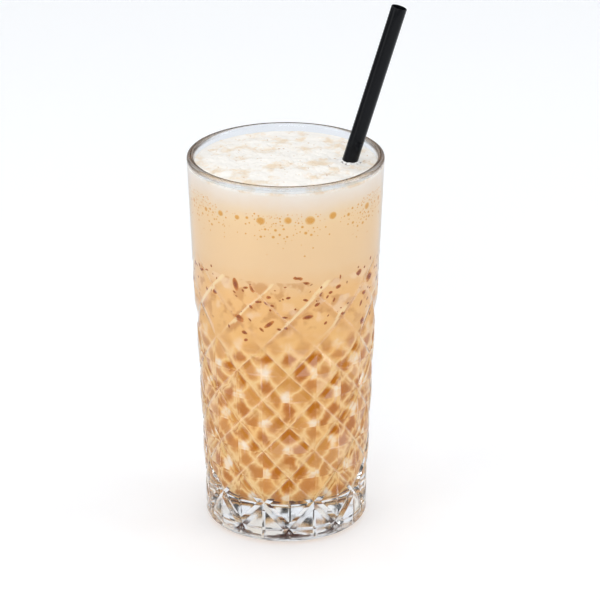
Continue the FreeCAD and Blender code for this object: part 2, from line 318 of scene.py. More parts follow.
def build_layer(name, node, low, high):
    """A layer between two levels: the bore's own profile, a little larger."""
    corner_end = FLOOR + BORE_ROUND
    radii, heights = [], []
    if low < corner_end:
        centre = bore_radius(corner_end) - BORE_ROUND / math.cos(BORE_SLOPE)
        corner = arc(centre, corner_end, BORE_ROUND + INTO_WALL, -90, -math.degrees(BORE_SLOPE), 10)
        floor_radii = np.linspace(5, centre, 5)[:-1]
        radii += [floor_radii, corner[0]]
        heights += [floor_radii * 0 + low - INTO_WALL, corner[1]]
        side = np.linspace(corner_end, high, 60)[1:]
    else:
        side = np.linspace(low, high, 24)
        inner = np.linspace(5, bore_radius(low), 5)[:-1]
        radii.append(inner)
        heights.append(inner * 0 + low)
    top = np.linspace(bore_radius(high), 5, 6)[1:]
    radii += [bore_radius(side) + INTO_WALL, top]
    heights += [side, top * 0 + high]
    radius, height = np.concatenate(radii)[:, None], np.concatenate(heights)[:, None]
    angle = DRINK_ANGLE[None, :]
    points = turned_points(radius + angle * 0, height + angle * 0, angle + radius * 0).reshape(-1, 3)
    faces = ring_faces(len(radius), DRINK_COLUMNS)
    points, faces = close_poles(points, faces, DRINK_COLUMNS, height[0, 0], high)
    return make_piece(name, points, faces, node)


coffee = build_layer("Coffee", "coffee", FLOOR, MILK_LEVEL)
milky = build_layer("MilkyCoffee", "milky_coffee", MILK_LEVEL, FOAM_LEVEL)

# %% [markdown]
# ## The foam
#
# Milk foam is a heap of tiny bubbles. Its top is a little crowned and lumpy, it clings to the
# wall and to the straw, and here and there a bubble has burst and left a pit. The top is a
# disc of rings with a height for each point, summed from waves of noise at several scales.

# %% Noise
def value_noise(x, y, scale, seed):
    """Smooth random heights between -1 and 1, with hills about as wide as scale.

    Random numbers stand on a square grid, and between them the value follows an S-shaped
    blend along both sides of the square.
    """
    numbers = np.random.default_rng(seed).uniform(-1, 1, (64, 64))
    x, y = x / scale + 32, y / scale + 32
    column, row = np.floor(x).astype(int), np.floor(y).astype(int)
    share_x, share_y = smooth_step(0, 1, x - column), smooth_step(0, 1, y - row)
    column, row = column % 63, row % 63
    low = numbers[row, column] * (1 - share_x) + numbers[row, column + 1] * share_x
    high = numbers[row + 1, column] * (1 - share_x) + numbers[row + 1, column + 1] * share_x
    return low * (1 - share_y) + high * share_y


# %% Where the straw stands
straw_low, straw_high = (np.array(corner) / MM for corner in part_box("straw"))
STRAW_RADIUS = (straw_high[1] - straw_low[1]) / 2
STRAW_WALL = 0.4


def straw_axis():
    """Foot, direction and length of the straw, worked out from its box in the frame.

    The box is as wide as the axis is long across, plus the two tilted ends, and as high in
    the same way, so the lean follows from width = L sin a + D cos a and
    height = L cos a + D sin a, solved by a few steps of repeated substitution.
    """
    width, rise = straw_high[0] - straw_low[0], straw_high[2] - straw_low[2]
    diameter = 2 * STRAW_RADIUS
    lean = math.atan2(width, rise)
    for _ in range(20):
        lean = math.atan2(width - diameter * math.cos(lean), rise - diameter * math.sin(lean))
    length = (rise - diameter * math.sin(lean)) / math.cos(lean)
    foot = np.array([
        straw_low[0] + STRAW_RADIUS * math.cos(lean), 0, straw_low[2] + STRAW_RADIUS * math.sin(lean),
    ])
    return foot, np.array([math.sin(lean), 0, math.cos(lean)]), length


STRAW_FOOT, STRAW_DIRECTION, STRAW_LENGTH = straw_axis()
STRAW_IN_FOAM = STRAW_FOOT + STRAW_DIRECTION * (FOAM_EDGE + 1 - STRAW_FOOT[2]) / STRAW_DIRECTION[2]
print(f"straw {STRAW_LENGTH:.0f} mm long, through the foam at x = {STRAW_IN_FOAM[0]:.1f} mm")


# %% The foam's top
def foam_height(x, y):
    """Height of the foam's top: a low crown, lumps, pits, and a rise at wall and straw."""
    from_axis = np.hypot(x, y)
    edge = bore_radius(FOAM_EDGE)
    crown = (FOAM_CROWN_TOP - FOAM_EDGE) * (1 - (from_axis / edge) ** 2)
    lumps = 0.38 * value_noise(x, y, 6.0, 3) + 0.28 * value_noise(x, y, 2.6, 4)
    grain = 0.16 * value_noise(x, y, 1.1, 5) + 0.08 * value_noise(x, y, 0.6, 6)
    where_pitted = smooth_step(-0.2, 0.6, value_noise(x, y, 9, 8))
    pits = -0.35 * smooth_step(0.45, 0.8, value_noise(x, y, 1.7, 7)) * where_pitted
    calm = 1 - smooth_step(edge - 2.5, edge, from_axis)
    cling = 0.5 * np.exp(-(edge - from_axis) / 0.8)
    from_straw = np.hypot((x - STRAW_IN_FOAM[0]) * STRAW_DIRECTION[2], y) - STRAW_RADIUS
    collar = 0.45 * np.exp(-np.maximum(from_straw, 0) / 0.9)
    return FOAM_EDGE + crown + (lumps + grain + pits) * (0.25 + 0.75 * calm) + cling + collar


# %% The foam as one closed surface
def build_foam():
    """The foam: a straight side against the wall, a flat underside and the lumpy top.

    The attribute Collar is 1 at the straw and fades within two millimetres of it.
    """
    columns = 320
    angle = np.arange(columns) * 2 * math.pi / columns
    inner = np.linspace(6, bore_radius(FOAM_LEVEL), 4)[:-1]
    side = np.linspace(FOAM_LEVEL, FOAM_EDGE, 9)
    top_radii = np.linspace(bore_radius(FOAM_EDGE) + INTO_WALL, 0.4, 84)
    radii = np.concatenate([inner, bore_radius(side[:-1]) + INTO_WALL, top_radii])
    radius, turn = np.meshgrid(radii, angle, indexing="ij")
    x, y = radius * np.sin(turn), -radius * np.cos(turn)
    height = foam_height(x, y)
    height[: len(inner)] = FOAM_LEVEL
    height[len(inner) : len(inner) + 8] = side[:-1, None]
    points = turned_points(radius, height, turn).reshape(-1, 3)
    faces = ring_faces(len(radii), columns)
    points, faces = close_poles(points, faces, columns, FOAM_LEVEL, height[-1].mean())
    piece = make_piece("Foam", points, faces, "foam")
    across = (points[:, 0] - STRAW_IN_FOAM[0]) * STRAW_DIRECTION[2]
    from_straw = np.maximum(np.hypot(across, points[:, 1]) - STRAW_RADIUS, 0)
    collar = piece.data.attributes.new("Collar", "FLOAT", "POINT")
    collar.data.foreach_set("value", np.exp(-from_straw / 1.3).astype(np.float32))
    return piece


foam = build_foam()

# %% [markdown]
# ## The straw
#
# A plain black tube, cut square. Its ends are slightly rounded by the cutter, which shows as
# a thin bright line round the mouth. One closed profile runs up the outside, over the lip and
# down the bore, and is turned round the straw's own axis.

# %% The straw
def build_straw():
    """The tube: a closed profile of outside, two lips and bore, turned and then tilted."""
    lip = STRAW_WALL / 2
    middle = STRAW_RADIUS - lip
    top_lip = arc(middle, STRAW_LENGTH - lip, lip, 0, 180, 7)
    foot_lip = arc(middle, lip, lip, 180, 360, 7)
    along = np.linspace(lip, STRAW_LENGTH - lip, 40)[1:-1]
    outside, bore = along * 0 + STRAW_RADIUS, along * 0 + STRAW_RADIUS - STRAW_WALL
    radii = np.concatenate([foot_lip[0], outside, top_lip[0], bore])
    heights = np.concatenate([foot_lip[1], along, top_lip[1], along[::-1]])
    columns = 64
    angle = np.arange(columns) * 2 * math.pi / columns
    radius, turn = np.meshgrid(radii, angle, indexing="ij")
    own = turned_points(radius, heights[:, None] + angle * 0, turn).reshape(-1, 3)
    rows = len(radii)
    faces = ring_faces(rows, columns)
    first, last = np.arange(columns), (rows - 1) * columns + np.arange(columns)
    closing = np.stack([last, np.roll(last, -1), np.roll(first, -1), last, np.roll(first, -1), first], -1)
    faces = np.concatenate([faces, closing.reshape(-1, 3)])
    across = np.array([STRAW_DIRECTION[2], 0, -STRAW_DIRECTION[0]])
    backward = np.array([0, 1, 0])
    points = STRAW_FOOT + own[:, :1] * across + own[:, 1:2] * backward + own[:, 2:] * STRAW_DIRECTION
    return make_piece("Straw", points, faces, "straw")


straw = build_straw()

# %% [markdown]
# ## Bubbles and flecks at the wall
#
# Below the foam, bubbles press flat against the glass; farther down float brown flecks of
# coffee. A bubble is a shallow dome that stands on the drink's surface inside the wall; a
# fleck is the same dome, stretched and turned. There are hundreds, so each kind is one joined
# mesh and each dome has only a few dozen faces.

# %% Domes scattered on the drink's side
DOME_RINGS, DOME_SIDES = 2, 12
ROOT_DEPTH = 0.6
DOME_GAP = 0.01


def build_domes(name, slot, angle, height, length, width, turn, proud):
    """Many shallow domes in one mesh, each on the drink's side.

    A dome's point at share s of its radius rises by proud * (1 - s^2). Underneath, a flat
    cone that ends inside the drink closes it. A place on the flat dome is bent round the
    glass by turning its distance along the wall into an angle. The attribute Inner is 0 at a
    dome's edge and 1 at its middle.
    """
    share = np.linspace(1, 0, DOME_RINGS + 1)[:-1]
    around = np.arange(DOME_SIDES) * 2 * math.pi / DOME_SIDES
    ring, spin = np.meshgrid(share, around, indexing="ij")
    local = np.stack([ring * np.cos(spin), ring * np.sin(spin), 1 - ring**2], -1).reshape(-1, 3)
    local = np.concatenate([local, [[0, 0, 1], [0, 0, -ROOT_DEPTH]]])
    along = local[None, :, 0] * length[:, None] / 2
    beside = local[None, :, 1] * width[:, None] / 2
    sideways = along * np.cos(turn)[:, None] - beside * np.sin(turn)[:, None]
    upward = along * np.sin(turn)[:, None] + beside * np.cos(turn)[:, None]
    at_height = height[:, None] + upward
    wall = bore_radius(at_height)
    radius = wall + INTO_WALL + DOME_GAP + local[None, :, 2] * proud[:, None]
    points = turned_points(radius, at_height, angle[:, None] + sideways / wall).reshape(-1, 3)
    per_dome = len(local)
    faces = ring_faces(DOME_RINGS, DOME_SIDES)
    last = (DOME_RINGS - 1) * DOME_SIDES + np.arange(DOME_SIDES)
    first = np.arange(DOME_SIDES)
    tip, root = np.full(DOME_SIDES, per_dome - 2), np.full(DOME_SIDES, per_dome - 1)
    cap = np.stack([last, np.roll(last, -1), tip], -1)
    underneath = np.stack([np.roll(first, -1), first, root], -1)
    faces = np.concatenate([faces, cap, underneath])
    faces = (faces[None] + per_dome * np.arange(len(angle))[:, None, None]).reshape(-1, 3)
    piece = make_piece(name, points, faces)
    inner = piece.data.attributes.new("Inner", "FLOAT", "POINT")
    from_rim = np.tile(1 - np.hypot(local[:, 0], local[:, 1]), len(angle))
    inner.data.foreach_set("value", from_rim.astype(np.float32))
    return piece


# %% Spots that keep clear of each other
def apart(angle, height, width, room):
    """Which of many round spots keep clear of all earlier ones, by room times their widths."""
    kept = np.zeros(len(angle), bool)
    for i in range(len(angle)):
        away = np.hypot((angle[:i] - angle[i]) * bore_radius(FOAM_LEVEL), height[:i] - height[i])
        kept[i] = not np.any(kept[:i] & (away < room * (width[:i] + width[i]) / 2))
    return kept


# %% [markdown]
# ## Where the bubbles sit
#
# The largest bubbles rise until the foam stops them, and stand in a row under it. Smaller ones
# gather in loose clusters and thin out downwards. Nobody places hundreds by hand: they are
# drawn at random with a fixed seed, so the same ones come each time, and a bubble that would
# overlap an earlier one is dropped.

# %% Bubbles
LARGE_BUBBLES, MEDIUM_BUBBLES, SMALL_BUBBLES = 25, 110, 1100
CLUSTERS = 6


def build_bubbles():
    """A row of large bubbles under the foam, medium and small ones in clusters, none overlapping."""
    random = np.random.default_rng(21)
    step = 2 * math.pi / LARGE_BUBBLES
    large_angle = (np.arange(LARGE_BUBBLES) + random.uniform(-0.15, 0.15, LARGE_BUBBLES)) * step
    large_height = FOAM_LEVEL - 2.6 + random.normal(0, 0.5, LARGE_BUBBLES)
    large_width = random.uniform(1.5, 4.0, LARGE_BUBBLES)
    medium_angle = random.integers(0, CLUSTERS, MEDIUM_BUBBLES) * 2 * math.pi / CLUSTERS
    medium_angle = medium_angle + random.normal(0, 0.25, MEDIUM_BUBBLES)
    medium_height = FOAM_LEVEL - random.uniform(2.0, 9.5, MEDIUM_BUBBLES)
    medium_width = random.uniform(0.8, 1.4, MEDIUM_BUBBLES)
    angle = random.integers(0, CLUSTERS, SMALL_BUBBLES) * 2 * math.pi / CLUSTERS
    angle = angle + random.normal(0, 0.22, SMALL_BUBBLES)
    height = FOAM_LEVEL + 0.2 - np.abs(random.normal(0, 5.4, SMALL_BUBBLES)) + 2.0 * (np.cos(angle) < 0.6)
    width = np.clip(random.lognormal(-0.6, 0.34, SMALL_BUBBLES), 0.35, 1.3)
    angle = np.concatenate([large_angle, medium_angle, angle])
    height = np.concatenate([large_height, medium_height, height])
    width = np.concatenate([large_width, medium_width, width])
    kept = apart(angle, height, width, 1.25) & (height < FOAM_LEVEL + 6)
    angle, height, width = angle[kept], height[kept], width[kept]
    proud = 0.04 + 0.03 * width
    return build_domes("WallBubbles", "milky_coffee", angle, height, width, width * 0.96, angle * 0, proud)


bubbles = build_bubbles()

# %% [markdown]
# ## Where the flecks float
#
# Specks of ground coffee hang where the two tones of the drink meet, and some sink below. They
# lean one way on the left and the other way on the right, as the swirl of stirring leaves
# them. The draws are seeded, like those of the bubbles.

# %% Flecks
LARGE_FLECKS, SMALL_FLECKS = 125, 190
FLECK_RISE = 0.06


def build_flecks():
    """Brown flecks: most where the two tones meet, fewer below, leaning to each side's cuts."""
    random = np.random.default_rng(12)
    count = LARGE_FLECKS + SMALL_FLECKS
    angle = random.uniform(-math.pi, math.pi, count)
    height = MILK_LEVEL + 0.6 + random.normal(0, 1.6, count) - 27 * random.beta(1.0, 1.9, count)
    large_length = np.clip(random.lognormal(1.0, 0.35, LARGE_FLECKS), 1.6, 5.4)
    small_length = np.clip(random.lognormal(0.2, 0.3, SMALL_FLECKS), 0.8, 1.9)
    length = np.concatenate([large_length, small_length])
    width = np.minimum(length * random.uniform(0.35, 0.8, count), 2.4)
    turn = 0.9 * np.sign(angle) * np.minimum(np.abs(np.sin(angle)) * 2, 1) + random.normal(0, 0.6, count)
    kept = apart(angle, height, length, 0.9)
    parts = [values[kept] for values in (angle, height, length, width, turn)]
    return build_domes("CoffeeFlecks", "coffee", *parts, FLECK_RISE + 0 * parts[0])


flecks = build_flecks()

# %% [markdown]
# ## Helpers for materials
#
# A material is a tree of nodes. Wiring each by hand takes many lines, so small functions add a
# node, link it and give back its output. A mask is a share from 0 to 1 that says how much of an
# effect a spot gets; masks are multiplied, or the largest is taken. Places are read on the
# Object coordinates, which are the frame's own metres, so a pattern stays where it belongs.

# %% Materials, nodes and links
def new_material(name):
    """A material with an empty node tree but for its output."""
    material = bpy.data.materials.new(name)
    material.use_nodes = True
    material.node_tree.nodes.clear()
    material.node_tree.nodes.new("ShaderNodeOutputMaterial")
    return material


def add_node(tree, kind, inputs=(), **settings):
    """Add a node, set its properties, and link or set its inputs by name or number."""
    node = tree.nodes.new(kind)
    for key, value in settings.items():
        setattr(node, key, value)
    for key, value in dict(inputs).items():
        if isinstance(value, bpy.types.NodeSocket):
            tree.links.new(value, node.inputs[key])
        else:
            node.inputs[key].default_value = value
    return node


def math_node(tree, operation, *values, clamp=False):
    """The output of a math node."""
    node = add_node(tree, "ShaderNodeMath", dict(enumerate(values)), operation=operation)
    node.use_clamp = clamp
    return node.outputs[0]


def finish_material(material, shader):
    """Link a shader to the material's output, and print how many nodes the material has."""
    tree = material.node_tree
    print(f"{material.name}: {len(tree.nodes)} nodes")
    output = next(node for node in tree.nodes if node.type == "OUTPUT_MATERIAL")
    tree.links.new(shader, output.inputs["Surface"])
    return material


# %% Colours
def paint(red, green, blue):
    """Linear colour, as nodes want it, of a colour given in the 0 to 255 steps of a screen."""
    share = np.array([red, green, blue]) / 255
    linear = np.where(share < 0.04045, share / 12.92, ((share + 0.055) / 1.055) ** 2.4)
    return (*(float(value) for value in linear), 1)


def mix_colour(tree, share, first, second):
    """The output of a colour mix."""
    node = add_node(tree, "ShaderNodeMix", data_type="RGBA")
    for socket, value in ((node.inputs[0], share), (node.inputs[6], first), (node.inputs[7], second)):
        if isinstance(value, bpy.types.NodeSocket):
            tree.links.new(value, socket)
        else:
            socket.default_value = value
    return node.outputs[2]


def colour_ramp(tree, share, stops):
    """A colour ramp's output; stops are pairs of place and linear colour."""
    node = add_node(tree, "ShaderNodeValToRGB", {0: share})
    ramp = node.color_ramp
    while len(ramp.elements) < len(stops):
        ramp.elements.new(0.5)
    for element, (place, colour) in zip(ramp.elements, stops):
        element.position = place
        element.color = colour
    return node.outputs[0]


# %% Ranges and noise
def range_share(tree, value, low, high):
    """0 at low and 1 at high, with an S-shaped rise between."""
    node = add_node(
        tree, "ShaderNodeMapRange", {0: value, 1: low, 2: high, 3: 0.0, 4: 1.0},
        interpolation_type="SMOOTHSTEP",
    )
    return node.outputs[0]


def noise(tree, vector, scale, detail=2.0, roughness=0.5):
    """A noise texture's value."""
    node = add_node(
        tree, "ShaderNodeTexNoise",
        {"Vector": vector, "Scale": scale, "Detail": detail, "Roughness": roughness},
    )
    return node.outputs["Fac"]


# %% Masks
def times(tree, first, *others):
    """The product of several shares."""
    for other in others:
        first = math_node(tree, "MULTIPLY", first, other)
    return first


def largest(tree, first, *others):
    """The largest of several shares."""
    for other in others:
        first = math_node(tree, "MAXIMUM", first, other)
    return first


def from_even(tree, count):
    """How far a count is from the nearest even number."""
    return math_node(tree, "PINGPONG", count, 1.0)


def from_odd(tree, count):
    """How far a count is from the nearest odd number."""
    return math_node(tree, "PINGPONG", math_node(tree, "ADD", count, 1.0), 1.0)


def from_whole(tree, count):
    """How far a count is from the nearest whole number."""
    return math_node(tree, "PINGPONG", count, 0.5)


def chance(tree, *counts):
    """A random number from 0 to 1 that is the same all over a cell of whole counts."""
    cell = add_node(tree, "ShaderNodeCombineXYZ", dict(enumerate(counts)))
    return add_node(
        tree, "ShaderNodeTexWhiteNoise", {"Vector": cell.outputs[0]}, noise_dimensions="3D"
    ).outputs["Value"]


# %% [markdown]
# ## Clear glass
#
# Glass has next to no colour of its own. Seen edge-on the way through it is long and ends in
# the dark of the room; that dark is painted shade in its tint, which falls with Layer Weight,
# most of all on the lip. Dark lines of painted shade mark the foot and the cuts below the
# floor, a grey-blue painted reflection of the room dims the inside above the foam, and random
# facets carry a painted golden light. Facets and fine lines are geometry and bend the light
# themselves. Their rounded edges are finer than the mesh, so masks on the UV map Lattice find
# them, and there a coat mirrors more of the lamps. The glass gives off no light.

# %% Tints of the glass
# The tints paint light into the glass: shade where it is seen edge-on and at the foot, a grey-blue
# reflection of the room above the foam, and golden light in random facets.
CLEAR_TINT, ROOM_REFLECTION_TINT = (0.9, 0.915, 0.935, 1), (0.74, 0.78, 0.84, 1)
EDGE_SHADE_TINT, FOOT_SHADE_COLOUR, GOLDEN_LIGHT_TINT = (0.09, 0.075, 0.07, 1), (0.06, 0.05, 0.045, 1), (0.9, 0.8, 0.62, 1)
CREASE_COAT, STAR_COAT, FACET_COAT, FOOT_SHADE = 0.55, 0.6, 0.28, 0.62


def tint_with_painted_light(tree, edge, height, up):
    """Nearly clear, with a painted grey-blue reflection inside above the foam, and painted shade where the
    glass is seen edge-on.
    """
    # Painted shade: dark where the glass is seen edge-on, and on the lip already at a lower Layer Weight.
    on_lip = range_share(tree, height, (GLASS_HEIGHT - 1.9) * MM, (GLASS_HEIGHT - 0.9) * MM)
    dark_lip = times(tree, on_lip, range_share(tree, edge, 0.2, 0.62))
    dark = largest(tree, range_share(tree, edge, 0.7, 1.0), dark_lip)
    # Painted reflection: inside above the foam the glass is dimmed grey-blue, as the room it mirrors
    # would.
    inside = range_share(tree, up, OFF_THE_WALL - 2, OFF_THE_WALL - 1)
    reflection_above_foam = times(tree, inside, range_share(tree, height, FOAM_EDGE * MM, (FOAM_EDGE + 0.6) * MM))
    return mix_colour(tree, dark, mix_colour(tree, reflection_above_foam, CLEAR_TINT, ROOM_REFLECTION_TINT), EDGE_SHADE_TINT)


# %% Fine lines of the glass
def crease_mask(tree, place, up, from_cut):
    """1 on a cut's centre line, uneven by noise, and broken up above the diamonds."""
    crease = range_share(tree, from_cut, 0.085, 0.02)
    below_tip = range_share(tree, up, 9.6, 8.6)
    patchy = math_node(tree, "MULTIPLY_ADD", noise(tree, place, 160.0, 2.0), 1.6, -0.2, clamp=True)
    broken = range_share(tree, noise(tree, place, 55.0, 1.0), 0.42, 0.56)
    whole = range_share(tree, up, 7.4, 6.4)
    return times(tree, crease, below_tip, patchy, largest(tree, whole, broken))


def star_mask(tree, across, up, from_peak):
    """Thin lines through a diamond's peak, on some diamonds stronger than on others."""
    gap = math_node(tree, "MINIMUM", from_whole(tree, across), from_whole(tree, up))
    lot = chance(tree, math_node(tree, "ROUND", across), math_node(tree, "ROUND", up))
    near_peak = range_share(tree, from_peak, 0.7, 0.25)
    return times(tree, range_share(tree, gap, 0.05, 0.012), near_peak, range_share(tree, lot, 0.4, 0.95))


# %% The glass material
def lattice_counts(tree):
    """Counts across and up, the falling count, and how far the nearest cut and peak are."""
    lattice = add_node(tree, "ShaderNodeUVMap", uv_map="Lattice").outputs[0]
    across, up = add_node(tree, "ShaderNodeSeparateXYZ", {0: lattice}).outputs[:2]
    falling = math_node(tree, "ADD", across, up)
    rising = math_node(tree, "SUBTRACT", across, up)
    from_cut = math_node(tree, "MINIMUM", from_even(tree, falling), from_even(tree, rising))
    from_peak = largest(tree, from_odd(tree, falling), from_odd(tree, rising))
    return across, up, falling, from_cut, from_peak


def glass_material():
    """Clear glass with fine bright lines where pressed facets meet, and painted light and shade.

    The underside is ground, so it is a little rough. Shadow rays pass straight through, so
    that light reaches the drink.
    """
    material = new_material("ClearGlass")
    tree = material.node_tree
    edge = add_node(tree, "ShaderNodeLayerWeight", {"Blend": 0.5}).outputs["Facing"]
    place = add_node(tree, "ShaderNodeTexCoord").outputs["Object"]
    height = add_node(tree, "ShaderNodeSeparateXYZ", {0: place}).outputs[2]
    across, up, falling, from_cut, from_peak = lattice_counts(tree)
    in_cuts = range_share(tree, up, 7.6, 6.6)
    above_floor = range_share(tree, height, FLOOR * MM, (FLOOR + 3) * MM)
    crease = crease_mask(tree, place, up, from_cut)
    star = times(tree, star_mask(tree, across, up, from_peak), STAR_COAT, in_cuts, above_floor)
    half_falling = math_node(tree, "MULTIPLY", falling, 0.5)
    lot = chance(tree, *(math_node(tree, "FLOOR", count) for count in (across, up, half_falling)))
    in_facets = times(tree, in_cuts, range_share(tree, from_cut, 0.2, 0.26))
    sheen = times(tree, in_facets, range_share(tree, lot, 0.7, 0.9), FACET_COAT)
    coat = largest(tree, times(tree, crease, above_floor, CREASE_COAT), star, sheen)
    # Painted light: random facets show the drink a deeper gold, as uneven light through the facets would.
    golden_light = times(tree, in_facets, range_share(tree, lot, 0.4, 0.1), above_floor)
    # Painted shade: dark lines along the cuts under the floor and along the foot where it is seen edge-on.
    foot_line_shade = times(tree, crease, math_node(tree, "SUBTRACT", 1.0, above_floor))
    foot_edge_shade = times(
        tree, range_share(tree, height, 1.9 * MM, 0.8 * MM), range_share(tree, edge, 0.45, 0.8)
    )
    shade = times(tree, largest(tree, foot_line_shade, foot_edge_shade), FOOT_SHADE)
    tint = mix_colour(tree, golden_light, tint_with_painted_light(tree, edge, height, up), GOLDEN_LIGHT_TINT)
    ground = times(tree, range_share(tree, height, 0.4 * MM, 0.05 * MM), 0.1)
    glass_shader = add_node(tree, "ShaderNodeBsdfPrincipled", {
        "Base Color": mix_colour(tree, shade, tint, FOOT_SHADE_COLOUR), "Roughness": ground, "IOR": 1.5,
        "Transmission Weight": 1.0, "Coat Weight": coat, "Coat IOR": 4.0, "Coat Roughness": 0.25,
        "Coat Tint": (1.0, 0.86, 0.58, 1),
    })
    clear = add_node(tree, "ShaderNodeBsdfTransparent", {"Color": (0.97, 0.975, 0.97, 1)})
    path = add_node(tree, "ShaderNodeLightPath")
    mix = add_node(tree, "ShaderNodeMixShader", {
        0: path.outputs["Is Shadow Ray"], 1: glass_shader.outputs[0], 2: clear.outputs[0],
    })
    return finish_material(material, mix.outputs[0])


glass.data.materials.append(glass_material())

# %% [markdown]
# ## The drink's tones
#
# Cold milk poured on coffee stays in layers for a while: golden below, cream above, nearly
# white under the foam. The tones melt into one another, so they are one colour ramp by height,
# with noise that makes the borders uneven. It is a node group, because both layers and the
# foam need it, and with the same ramp in each there is no seam between them.

# %% The drink's colour by height
TONE_LOW, TONE_HIGH = FLOOR, FOAM_EDGE
DRINK_TONES = [
    (FLOOR, paint(224, 160, 84)), (60, paint(232, 174, 96)), (DIAMOND_TOP, paint(242, 192, 118)),
    (MILK_LEVEL - 6.4, paint(244, 198, 132)), (MILK_LEVEL - 0.4, paint(241, 204, 152)),
    (MILK_LEVEL + 5.6, paint(243, 211, 166)), (FOAM_LEVEL - 10.4, paint(244, 212, 166)),
    (FOAM_LEVEL - 4.4, paint(245, 214, 168)), (FOAM_LEVEL + 0.1, paint(242, 218, 184)),
    (FOAM_LEVEL + 3.6, paint(243, 226, 206)), (FOAM_EDGE, paint(246, 237, 226)),
]


def drink_tone_group():
    """Node group: the drink's colour by height, with uneven borders between the tones."""
    group = bpy.data.node_groups.new("DrinkTone", "ShaderNodeTree")
    group.interface.new_socket("Unevenness", in_out="INPUT", socket_type="NodeSocketFloat")
    group.interface.new_socket("Color", in_out="OUTPUT", socket_type="NodeSocketColor")
    source = group.nodes.new("NodeGroupInput")
    target = group.nodes.new("NodeGroupOutput")
    place = add_node(group, "ShaderNodeTexCoord").outputs["Object"]
    height = add_node(group, "ShaderNodeSeparateXYZ", {0: place}).outputs[2]
    millimetres = math_node(group, "DIVIDE", height, MM)
    broad = math_node(group, "SUBTRACT", noise(group, place, 70.0, 3.0), 0.5)
    fine = math_node(group, "SUBTRACT", noise(group, place, 260.0, 2.0), 0.5)
    wander = math_node(group, "ADD", broad, math_node(group, "MULTIPLY", fine, 0.4))
    moved = math_node(group, "MULTIPLY_ADD", wander, source.outputs["Unevenness"], millimetres)
    above_low = math_node(group, "SUBTRACT", moved, TONE_LOW)
    share = math_node(group, "DIVIDE", above_low, TONE_HIGH - TONE_LOW)
    stops = [((level - TONE_LOW) / (TONE_HIGH - TONE_LOW), colour) for level, colour in DRINK_TONES]
    group.links.new(colour_ramp(group, share, stops), target.inputs["Color"])
    return group


DRINK_TONE = drink_tone_group()
print(f"{DRINK_TONE.name}: {len(DRINK_TONES)} tones from {TONE_LOW:.0f} to {TONE_HIGH:.0f} mm")

# %% [markdown]
# ## Light that the cuts throw on the coffee
#
# Each facet is a small lens. It gathers light on the coffee behind it as golden spots between
# pale lines, with a whitish patch behind each peak. A renderer would need a very long time to
# find that light, so it is painted on the coffee here. The pattern uses the same counts as the
# cuts. It belongs to the piece, stays put in every view, and is a stand-in for real caustics.

# %% Counts along the cuts on the coffee
def shaken_counts(tree, place):
    """Counts across and up, and the height, all shaken by noise, most among the diamonds.

    across is the angle from the first cut over half a cut's angle; up is the height above the
    first crossings over half a diamond.
    """
    shake = add_node(tree, "ShaderNodeTexNoise", {"Vector": place, "Scale": 135.0, "Detail": 3.0})
    centred = add_node(
        tree, "ShaderNodeVectorMath", {0: shake.outputs["Color"], 1: (0.5, 0.5, 0.5)},
        operation="SUBTRACT",
    )
    height = add_node(tree, "ShaderNodeSeparateXYZ", {0: place}).outputs[2]
    in_diamonds = range_share(tree, height, 96 * MM, 80 * MM)
    reach = math_node(tree, "MULTIPLY_ADD", in_diamonds, 6.8 * MM, 1.4 * MM)
    shift = add_node(
        tree, "ShaderNodeVectorMath", {0: centred.outputs[0], "Scale": reach}, operation="SCALE"
    )
    moved = add_node(tree, "ShaderNodeVectorMath", {0: place, 1: shift.outputs[0]}, operation="ADD")
    x, y, z = add_node(tree, "ShaderNodeSeparateXYZ", {0: moved.outputs[0]}).outputs
    angle = math_node(tree, "ARCTAN2", x, math_node(tree, "MULTIPLY", y, -1.0))
    turned = math_node(tree, "SUBTRACT", angle, math.radians(CUT_TURN))
    raised = math_node(tree, "SUBTRACT", z, FIRST_CROSSING * MM)
    across = math_node(tree, "DIVIDE", turned, HALF_CUT_ANGLE)
    up = math_node(tree, "DIVIDE", raised, HALF_DIAMOND * MM)
    return across, up, z


# %% Painted shaded bands and bright lines under the long points
def one_sided(tree, signed):
    """A soft band beside a line, on the side where the signed distance is positive."""
    return times(tree, range_share(tree, signed, 0.02, 0.12), range_share(tree, signed, 0.46, 0.26))


def border_light(tree, place, height, falling, rising, colour):
    """Painted shade in brown bands beside the cuts, golden and pale patches, and a painted bright line
    along some cuts.
    """
    beside = math_node(tree, "WRAP", rising, 1.0, -1.0)
    beside_other = math_node(tree, "WRAP", math_node(tree, "MULTIPLY", falling, -1.0), 1.0, -1.0)
    # Painted shade: a brown band on one side of each cut.
    band = largest(tree, one_sided(tree, beside), times(tree, one_sided(tree, beside_other), 0.6))
    uneven = range_share(tree, noise(tree, place, 90.0, 2.0), 0.38, 0.6)
    band = times(tree, band, range_share(tree, height, 112 * MM, 92 * MM), uneven, 0.75)
    rise, fall = range_share(tree, height, 84 * MM, 96 * MM), range_share(tree, height, 114 * MM, 108 * MM)
    near_border = times(tree, rise, fall, 0.6)
    patch = times(tree, range_share(tree, noise(tree, place, 210.0, 2.0), 0.5, 0.64), near_border)
    pale = times(tree, range_share(tree, noise(tree, place, 150.0, 1.0), 0.55, 0.7), near_border)
    some = range_share(tree, noise(tree, place, 38.0, 1.0), 0.4, 0.52)
    bright = times(tree, range_share(tree, from_even(tree, rising), 0.14, 0.04), near_border, 1.5, some)
    colour = mix_colour(tree, patch, colour, paint(206, 138, 66))
    colour = mix_colour(tree, pale, colour, paint(252, 224, 190))
    colour = mix_colour(tree, band, colour, paint(206, 140, 70))
    return mix_colour(tree, bright, colour, paint(255, 232, 184))


